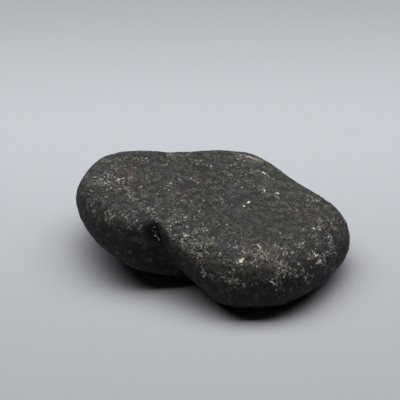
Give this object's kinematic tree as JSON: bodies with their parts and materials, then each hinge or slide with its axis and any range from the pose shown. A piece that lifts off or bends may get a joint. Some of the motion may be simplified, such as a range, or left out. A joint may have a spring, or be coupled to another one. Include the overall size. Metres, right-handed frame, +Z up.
{
  "type": "river pebble",
  "caption": "Flattish water-worn dark stone with pale flecks, fuller at one end, with a notch in one long side.",
  "frame": {"origin": "on the resting plane, under the middle of the stone's box", "axes": "+X along the length towards the fuller end, +Y across, away from the notch, +Z up from the resting face"},
  "size_m": [0.084, 0.0642, 0.0265],
  "materials": {
    "stone": "matt, water-worn, dark grey-green with fine pale flecks and faint brown and ochre patches"
  },
  "bodies": {
    "root": {"pebble": "stone"}
  },
  "joints": []
}
